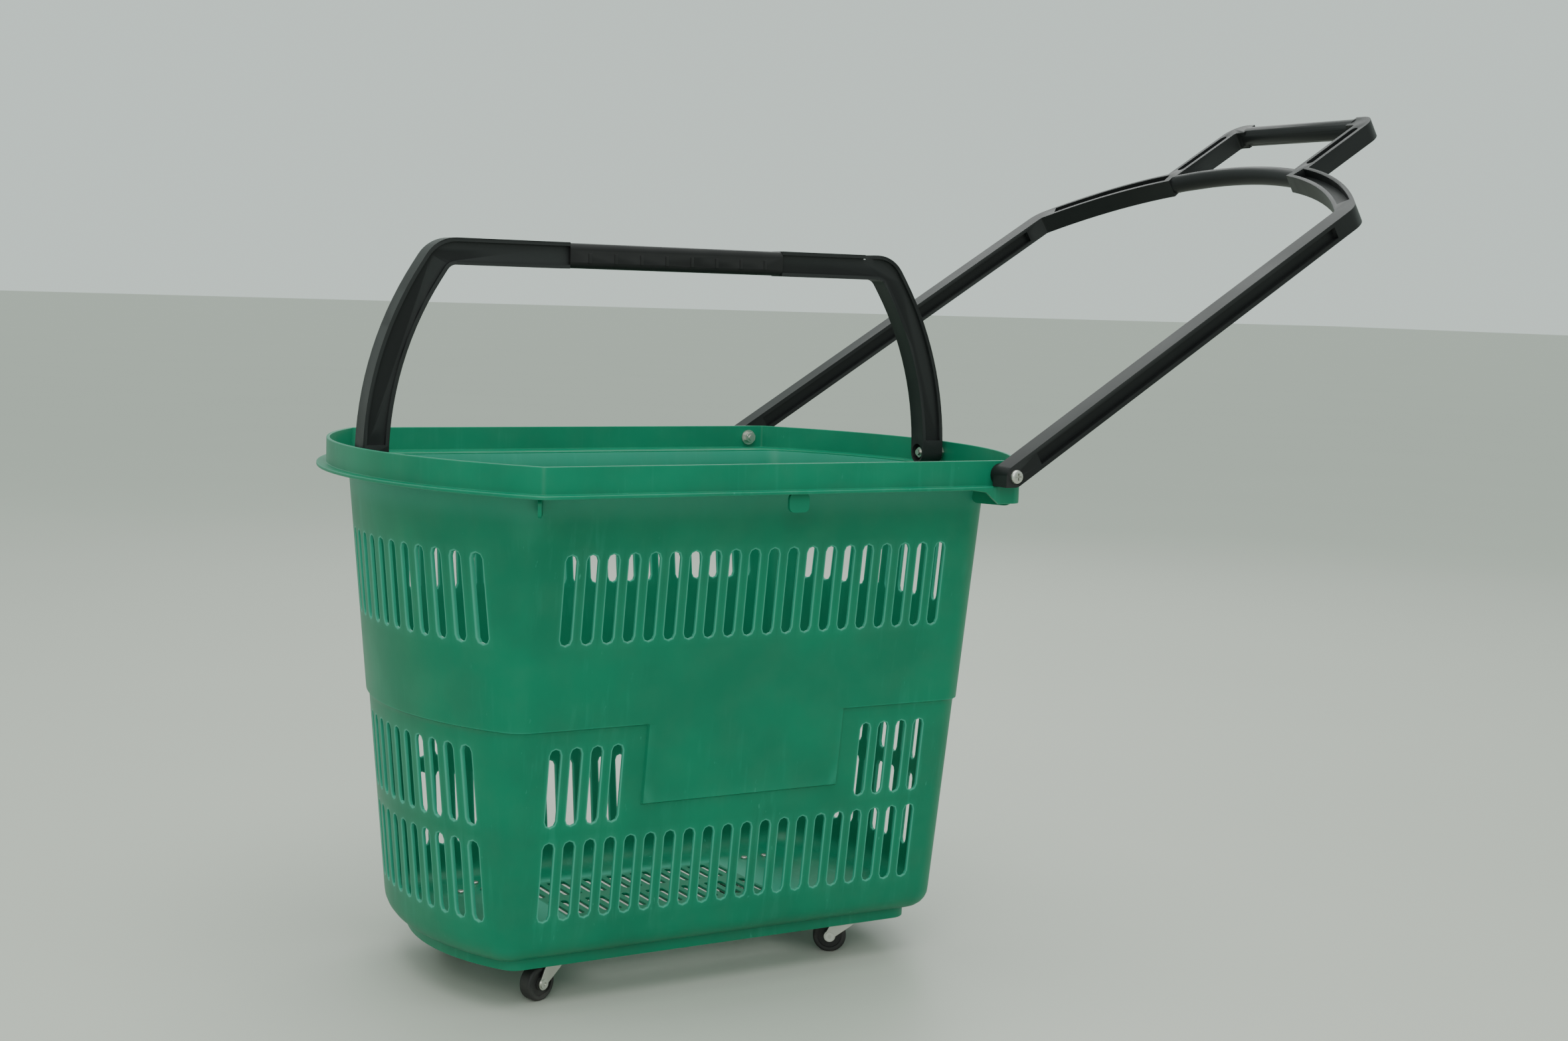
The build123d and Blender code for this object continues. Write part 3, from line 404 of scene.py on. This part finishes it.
def basket_rim():
    """The section carried round the rim's plan. At the pull end the lip turns down into a skirt.

    Both sections have the same number of points, and are mixed by how far along X the plan is.
    The ledge's inner edge runs to the wall's own plan.
    """
    lip = rim_section(FLANGE_OUT, LEDGE_Z - 0.01)
    lug = rim_section(LUG_OUT, LUG_Z)
    base = full_plan((*RIM_PLAN, RIM_ROUND))
    wall = full_plan((*(TOP_PLAN - LEDGE_INTO_WALL), WALL_ROUND))
    ahead, behind = np.roll(base, -1, 0), np.roll(base, 1, 0)
    along = ahead - behind
    normal = np.stack([along[:, 1], -along[:, 0]], -1)
    normal /= np.linalg.norm(normal, axis=1)[:, None]
    normal *= np.sign((normal * base).sum(1))[:, None]
    turned = np.clip((base[:, 0] - LUG_X0) / (LUG_X1 - LUG_X0), 0, 1)[None, :, None]
    section = lip[:, None, :] * (1 - turned) + lug[:, None, :] * turned
    out, z = section[..., :1], section[..., 1:]
    inward = np.clip(-(out + WALL) / (LEDGE_REACH - WALL), 0, 1)
    from_band = base[None] + normal[None] * np.maximum(out, -WALL)
    xy = from_band * (1 - inward) + wall[None] * inward
    return [grid(np.concatenate([xy, z], -1), loop_rows=True, loop_columns=True)]


def basket_skirt():
    """A thin wall below the floor: its rounded section carried round the skirt's plan."""
    rows = []
    for inset, z in rounded([(0, SKIRT_TOP), (0, SKIRT_Z), (WALL, SKIRT_Z), (WALL, SKIRT_TOP)], 0.8):
        plan = SKIRT_PLAN - INSET_SHARE * inset
        rows.append((plan, SKIRT_ROUND - ROUND_SHARE * inset, z))
    return [swept(rows)]


def gusset(half_t, half_l, half_h, radius):
    """A thin upright plate whose lower edges are rounded, as its outline carried across its thickness."""
    outline = rounded([(half_l, half_h), (-half_l, half_h), (-half_l, -half_h), (half_l, -half_h)], radius, 8)
    rows = [(0.0, half_t), (1.0, half_t), (1.0, -half_t), (0.0, -half_t)]
    middle, column = outline.mean(0), np.ones((len(outline), 1))
    return np.stack([np.concatenate([x * column, middle + (outline - middle) * k], -1) for k, x in rows])


def basket_ribs():
    """Gussets under the ledge, pointing out of each corner, and the tab in the middle of each side."""
    parts = []
    gusset_points = gusset(*RIB_HALF, RIB_ROUND)
    for sy in (-1, 1):
        for sx in (-1, 1):
            turn = -sx * sy * radians(RIB_TURN)
            spin = np.array([[cos(turn), -sin(turn), 0], [sin(turn), cos(turn), 0], [0, 0, 1]])
            place = np.array([sx * RIB_PLACE[0], sy * RIB_PLACE[1], LEDGE_Z - RIB_DROP])
            parts.append(grid(gusset_points @ spin.T + place, loop_columns=True))
        tab = gusset(WALL / 2, *TAB_HALF, TAB_ROUND)[..., [1, 0, 2]]
        place = [TAB_X, sy * (RIM_PLAN[0] - WALL / 2), LEDGE_Z - RIB_DROP]
        parts.append(grid(tab + place, loop_columns=True))
    return parts


# ---- shared effects -------------------------------------------------------------------------
def node_group(name, inputs, outputs):
    """A shader node group with named sockets. Inputs are (name, type, default)."""
    group = bpy.data.node_groups.new(name, "ShaderNodeTree")
    for label, kind, default in inputs:
        socket = group.interface.new_socket(label, in_out="INPUT", socket_type=kind)
        socket.default_value = default
    for label, kind in outputs:
        group.interface.new_socket(label, in_out="OUTPUT", socket_type=kind)
    return group, group.nodes.new("NodeGroupInput"), group.nodes.new("NodeGroupOutput")


def math_node(tree, operation, a, b=None, clamp=False):
    node = tree.nodes.new("ShaderNodeMath")
    node.operation, node.use_clamp = operation, clamp
    for i, value in enumerate((a, b)):
        if value is None:
            continue
        if isinstance(value, (int, float)):
            node.inputs[i].default_value = value
        else:
            tree.links.new(value, node.inputs[i])
    return node.outputs[0]


def mix_color(tree, factor, a, b):
    node = tree.nodes.new("ShaderNodeMix")
    node.data_type = "RGBA"
    for socket, value in ((node.inputs[0], factor), (node.inputs[6], a), (node.inputs[7], b)):
        if isinstance(value, (int, float, tuple)):
            socket.default_value = value
        else:
            tree.links.new(value, socket)
    return node.outputs[2]


def noise(tree, vector, scale, detail=4.0, stretch=None):
    if stretch:
        mapping = tree.nodes.new("ShaderNodeMapping")
        mapping.inputs["Scale"].default_value = stretch
        tree.links.new(vector, mapping.inputs["Vector"])
        vector = mapping.outputs["Vector"]
    node = tree.nodes.new("ShaderNodeTexNoise")
    node.inputs["Scale"].default_value, node.inputs["Detail"].default_value = scale, detail
    tree.links.new(vector, node.inputs["Vector"])
    return node.outputs["Fac"]


def ramp(tree, value, low, high):
    """Smooth ramp from 0 at low to 1 at high."""
    node = tree.nodes.new("ShaderNodeMapRange")
    node.interpolation_type = "SMOOTHSTEP"
    node.inputs["From Min"].default_value, node.inputs["From Max"].default_value = low, high
    tree.links.new(value, node.inputs["Value"])
    return node.outputs["Result"]


def moulded_grain_group():
    """Fine satin grain, broad mottling, sparse scuffs and upright streaks, from Object coordinates."""
    group, inp, out = node_group(
        "moulded_grain", [("Grain Size", "NodeSocketFloat", 900.0), ("Scuff", "NodeSocketFloat", 0.5)],
        [("Height", "NodeSocketFloat"), ("Mottle", "NodeSocketFloat"), ("Scuff", "NodeSocketFloat"),
         ("Streak", "NodeSocketFloat")])
    coord = group.nodes.new("ShaderNodeTexCoord").outputs["Object"]
    fine = group.nodes.new("ShaderNodeTexNoise")
    group.links.new(coord, fine.inputs["Vector"])
    group.links.new(inp.outputs["Grain Size"], fine.inputs["Scale"])
    flecks = ramp(group, noise(group, coord, 260.0, 2.0, (1.0, 1.0, 0.35)), 0.70, 0.80)
    patches = ramp(group, noise(group, coord, 9.0, 3.0), 0.42, 0.66)
    scuff = math_node(group, "MULTIPLY", math_node(group, "MULTIPLY", flecks, patches), inp.outputs["Scuff"])
    group.links.new(fine.outputs["Fac"], out.inputs["Height"])
    group.links.new(noise(group, coord, 14.0, 5.0), out.inputs["Mottle"])
    group.links.new(scuff, out.inputs["Scuff"])
    runs = ramp(group, noise(group, coord, 150.0, 3.0, (1.0, 1.0, 0.07)), 0.52, 0.72)
    group.links.new(math_node(group, "MULTIPLY", runs, patches), out.inputs["Streak"])
    return group


def dust_group():
    """Dust that gathers on upward faces and more thinly elsewhere, broken up by noise."""
    group, inp, out = node_group(
        "settled_dust", [("Amount", "NodeSocketFloat", 0.3)], [("Mask", "NodeSocketFloat")])
    coord = group.nodes.new("ShaderNodeTexCoord").outputs["Object"]
    normal = group.nodes.new("ShaderNodeNewGeometry").outputs["Normal"]
    split = group.nodes.new("ShaderNodeSeparateXYZ")
    group.links.new(normal, split.inputs[0])
    upward = ramp(group, split.outputs["Z"], 0.2, 1.0)
    cloud = ramp(group, noise(group, coord, 30.0, 6.0), 0.35, 0.75)
    mask = math_node(group, "MULTIPLY", cloud, math_node(group, "ADD", upward, 0.35, True))
    group.links.new(math_node(group, "MULTIPLY", mask, inp.outputs["Amount"]), out.inputs["Mask"])
    return group


def painted_edge_highlight_group():
    """How sharply the surface turns outwards, from Geometry's Pointiness; the materials paint a highlight on
    these edges.
    """
    group, inp, out = node_group(
        "painted_edge_highlight", [("Low", "NodeSocketFloat", 0.51), ("High", "NodeSocketFloat", 0.60)],
        [("Mask", "NodeSocketFloat")])
    point = group.nodes.new("ShaderNodeNewGeometry").outputs["Pointiness"]
    node = group.nodes.new("ShaderNodeMapRange")
    node.interpolation_type = "SMOOTHSTEP"
    group.links.new(point, node.inputs["Value"])
    group.links.new(inp.outputs["Low"], node.inputs["From Min"])
    group.links.new(inp.outputs["High"], node.inputs["From Max"])
    group.links.new(node.outputs["Result"], out.inputs["Mask"])
    return group


GRAIN, DUST, EDGE_HIGHLIGHT = moulded_grain_group(), dust_group(), painted_edge_highlight_group()


def place_group(tree, group, **values):
    node = tree.nodes.new("ShaderNodeGroup")
    node.node_tree = group
    for key, value in values.items():
        node.inputs[key.replace("_", " ")].default_value = value
    return node


def finish_material(name, base, light, dusty, rough, metal=0.0, grain=900.0, scuff=0.4, dust=0.2,
                    edge=0.5, bump=0.05, spec=0.5, subsurface=0.0, streak=0.0):
    """Base colour mottled and streaked towards light, painted highlights on sharp edges and round the slots,
    scuffs and dust, and a fine bump.
    """
    material = bpy.data.materials.new(name)
    material.use_nodes = True
    tree = material.node_tree
    shader = tree.nodes["Principled BSDF"]
    g = place_group(tree, GRAIN, Grain_Size=grain, Scuff=scuff)
    d = place_group(tree, DUST, Amount=dust)
    highlight_edges = place_group(tree, EDGE_HIGHLIGHT)
    darker = tuple(0.86 * c for c in base[:3]) + (1,)
    shade = mix_color(tree, ramp(tree, g.outputs["Mottle"], 0.3, 0.7), base, darker)
    # painted highlight round the slots, read from the point attribute and mixed towards light
    slot_highlight = tree.nodes.new("ShaderNodeAttribute")
    slot_highlight.attribute_name = "slot_highlight"
    painted_slot_highlight = math_node(tree, "MULTIPLY", slot_highlight.outputs["Fac"], 0.62)
    # painted highlight on sharp edges, scaled by edge and mixed towards light
    edges = math_node(tree, "MULTIPLY", highlight_edges.outputs["Mask"], edge)
    shade = mix_color(tree, math_node(tree, "MAXIMUM", edges, painted_slot_highlight), shade, light)
    shade = mix_color(tree, math_node(tree, "MULTIPLY", g.outputs["Streak"], streak), shade, light)
    shade = mix_color(tree, g.outputs["Scuff"], shade, light)
    shade = mix_color(tree, d.outputs["Mask"], shade, dusty)
    tree.links.new(shade, shader.inputs["Base Color"])
    worn = math_node(tree, "ADD", math_node(tree, "MULTIPLY", d.outputs["Mask"], 0.5),
                     math_node(tree, "MULTIPLY", g.outputs["Mottle"], 0.12))
    tree.links.new(math_node(tree, "ADD", worn, rough - 0.06, True), shader.inputs["Roughness"])
    shader.inputs["Metallic"].default_value = metal
    shader.inputs["Specular IOR Level"].default_value = spec
    if subsurface:
        shader.inputs["Subsurface Weight"].default_value = subsurface
        shader.inputs["Subsurface Radius"].default_value = (0.2, 1.0, 0.6)
        shader.inputs["Subsurface Scale"].default_value = 0.004
    bumps = tree.nodes.new("ShaderNodeBump")
    bumps.inputs["Strength"].default_value, bumps.inputs["Distance"].default_value = bump, 0.0004
    tree.links.new(g.outputs["Height"], bumps.inputs["Height"])
    tree.links.new(bumps.outputs["Normal"], shader.inputs["Normal"])
    return material


DUSTY = (0.36, 0.37, 0.33, 1)
# The second colour of each finish serves the scuffs and streaks and also the painted highlight on sharp edges
# and slot edges; edge sets how strong the painted edge highlight is.
GREEN, GREEN_SCUFF_AND_HIGHLIGHT = (0.0020, 0.198, 0.102, 1), (0.07, 0.45, 0.32, 1)
green_plastic = finish_material("green_moulded_plastic", GREEN, GREEN_SCUFF_AND_HIGHLIGHT, DUSTY, 0.42, scuff=0.4, dust=0.05,
                                edge=0.55, bump=0.06, spec=0.25, subsurface=0.08, streak=0.09)
green_trim = finish_material("green_moulded_trim", GREEN, GREEN_SCUFF_AND_HIGHLIGHT, DUSTY, 0.42, scuff=0.2, dust=0.04,
                             edge=0.04, bump=0.06, spec=0.22, subsurface=0.05)
BLACK, GREY_SCUFF_AND_HIGHLIGHT = (0.011, 0.012, 0.0125, 1), (0.06, 0.064, 0.064, 1)
black_plastic = finish_material("black_moulded_plastic", BLACK, GREY_SCUFF_AND_HIGHLIGHT, DUSTY, 0.44, grain=420.0, scuff=0.06,
                                dust=0.01, edge=0.25, bump=0.015, spec=0.22)
grip_plastic = finish_material("grip_plastic", (0.012, 0.012, 0.0125, 1), (0.05, 0.05, 0.05, 1), DUSTY,
                               0.50, grain=700.0, scuff=0.06, dust=0.02, edge=0.2, bump=0.03, spec=0.22)
zinc = finish_material("zinc_plate", (0.60, 0.60, 0.55, 1), (0.80, 0.80, 0.76, 1), (0.30, 0.29, 0.25, 1),
                       0.34, metal=1.0, grain=500.0, scuff=0.3, dust=0.35, edge=0.4, bump=0.06)
ball_steel = finish_material("ball_steel", (0.70, 0.70, 0.70, 1), (0.85, 0.85, 0.85, 1), DUSTY,
                             0.20, metal=1.0, scuff=0.1, dust=0.2, edge=0.2, bump=0.02)
FLOOR_DIRT = (0.22, 0.21, 0.19, 1)
wheel_rubber = finish_material("wheel_rubber", (0.012, 0.012, 0.012, 1), (0.07, 0.07, 0.065, 1), FLOOR_DIRT,
                               0.62, grain=700.0, scuff=0.4, dust=0.55, edge=0.4, bump=0.25)
bush_plastic = finish_material("bush_plastic", (0.50, 0.50, 0.45, 1), (0.62, 0.62, 0.58, 1), DUSTY,
                               0.5, scuff=0.2, dust=0.3, edge=0.2, bump=0.05)
BY_SLOT = {"basket_plastic": green_plastic, "handle_plastic": black_plastic, "grip_plastic": grip_plastic,
           "zinc_steel": zinc, "ball_steel": ball_steel, "wheel_rubber": wheel_rubber,
           "bush_plastic": bush_plastic}
for part in frame["record"]["subparts"]:
    materials = frame["nodes"][part["node"]].data.materials
    materials.clear()
    materials.append(BY_SLOT[part["material_slot"]])

BODY_OF = {node: body for body, nodes in frame["record"]["behaviour"]["bodies"].items() for node in nodes}


def eased_copy(name, node, width, segments=2):
    """The node's shape as one welded mesh, its flats made whole, with rounded edges width wide."""
    mesh = frame["nodes"][node].data.copy()
    mesh.name = name
    bm = bmesh.new()
    bm.from_mesh(mesh)
    bmesh.ops.remove_doubles(bm, verts=bm.verts, dist=2e-5)
    bmesh.ops.dissolve_limit(bm, angle_limit=radians(1.0), verts=bm.verts, edges=bm.edges)
    bm.to_mesh(mesh)
    bm.free()
    piece = bpy.data.objects.new(name, mesh)
    bpy.context.scene.collection.objects.link(piece)
    mesh.shade_smooth()
    mesh.set_sharp_from_angle(angle=radians(50))
    bevel = piece.modifiers.new("eased_edges", "BEVEL")
    bevel.width, bevel.segments, bevel.limit_method = width * MM, segments, "ANGLE"
    bevel.angle_limit, bevel.harden_normals = radians(40), True
    bevel.use_clamp_overlap = True
    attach(piece, BODY_OF[node])
    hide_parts(node)
    return piece


# ---- pieces ---------------------------------------------------------------------------------
shell = slotted_walls() + basket_foot()
add_piece("basket_shell", shell, "basket", green_plastic, "basket_body")
add_piece("basket_floor", basket_floor(), "basket", green_plastic)
add_piece("basket_rim", basket_rim(), "basket", green_plastic)
add_piece("basket_skirt", basket_skirt(), "basket", green_plastic)
add_piece("basket_ribs", basket_ribs(), "basket", green_trim)
eased_copy("bail", "carry_handle", 1.0, 3)
eased_copy("bail_grip", "carry_grip", 0.4)
eased_copy("pull_frame", "pull_handle", 1.4, 3)
for corner in ("rear_near", "rear_far", "front_near", "front_far"):
    eased_copy("fork_" + corner, "caster_fork_" + corner, 0.4)


# ---- floor, light and camera ----------------------------------------------------------------
def studio_sheet(name, corners, colour, roughness):
    """One flat sheet of the surroundings, faintly mottled."""
    material = bpy.data.materials.new(name)
    material.use_nodes = True
    tree = material.node_tree
    shader = tree.nodes["Principled BSDF"]
    coord = tree.nodes.new("ShaderNodeTexCoord").outputs["Object"]
    darker = tuple(0.95 * c for c in colour[:3]) + (1,)
    tree.links.new(mix_color(tree, noise(tree, coord, 1.4), colour, darker), shader.inputs["Base Color"])
    shader.inputs["Roughness"].default_value = roughness
    mesh = bpy.data.meshes.new(name)
    mesh.from_pydata(corners, [], [(0, 1, 2, 3)])
    mesh.materials.append(material)
    sheet = bpy.data.objects.new(name, mesh)
    bpy.context.scene.collection.objects.link(sheet)


def area_light(name, place, target, size, watts):
    """A square light at place that faces target. Its own +Z points away from the target."""
    data = bpy.data.lights.new(name, "AREA")
    data.size, data.energy = size, watts
    lamp = bpy.data.objects.new(name, data)
    bpy.context.scene.collection.objects.link(lamp)
    lamp.location = place
    aim = np.array(target) - np.array(place)
    z = -aim / np.linalg.norm(aim)
    x = np.cross([0, 1, 0], z)
    x /= np.linalg.norm(x)
    y = np.cross(z, x)
    lamp.rotation_euler = Matrix(np.stack([x, y, z], 1).tolist()).to_euler()


FLOOR_HALF = 70.0
studio_sheet("studio_floor", [(-FLOOR_HALF, -FLOOR_HALF, 0), (FLOOR_HALF, -FLOOR_HALF, 0),
                              (FLOOR_HALF, FLOOR_HALF, 0), (-FLOOR_HALF, FLOOR_HALF, 0)],
             (0.56, 0.57, 0.51, 1), 0.5)
world = bpy.data.worlds.new("studio")
world.use_nodes = True
world.node_tree.nodes["Background"].inputs[0].default_value = (0.78, 0.90, 0.84, 1)
world.node_tree.nodes["Background"].inputs[1].default_value = 0.92
bpy.context.scene.world = world
area_light("ceiling_light", (-0.3, -0.6, 3.0), (0, 0, 0.3), 2.6, 50)
area_light("front_light", (-1.6, -2.6, 1.7), (0, 0, 0.4), 1.6, 24)
area_light("far_light", (1.8, 2.2, 2.2), (0, 0, 0.5), 1.8, 22)


def view_camera():
    """The camera's place, in metres, and its three turns: round, down and roll."""
    place = (-0.9438, -1.8191, 0.6308)
    az, pitch, roll = radians(-30.525), radians(5.965), radians(1.8)
    forward = np.array([-sin(az) * cos(pitch), cos(az) * cos(pitch), -sin(pitch)])
    right = np.cross(forward, [0, 0, 1])
    right /= np.linalg.norm(right)
    up = np.cross(right, forward)
    right, up = cos(roll) * right + sin(roll) * up, -sin(roll) * right + cos(roll) * up
    data = bpy.data.cameras.new("view")
    data.sensor_width, data.lens = 36.0, 49.55
    data.clip_end = 200.0
    camera = bpy.data.objects.new("view", data)
    bpy.context.scene.collection.objects.link(camera)
    turned = Matrix(np.stack([right, up, -forward], 1).tolist()).to_4x4()
    camera.matrix_world = Matrix.Translation(place) @ turned
    bpy.context.scene.camera = camera


view_camera()
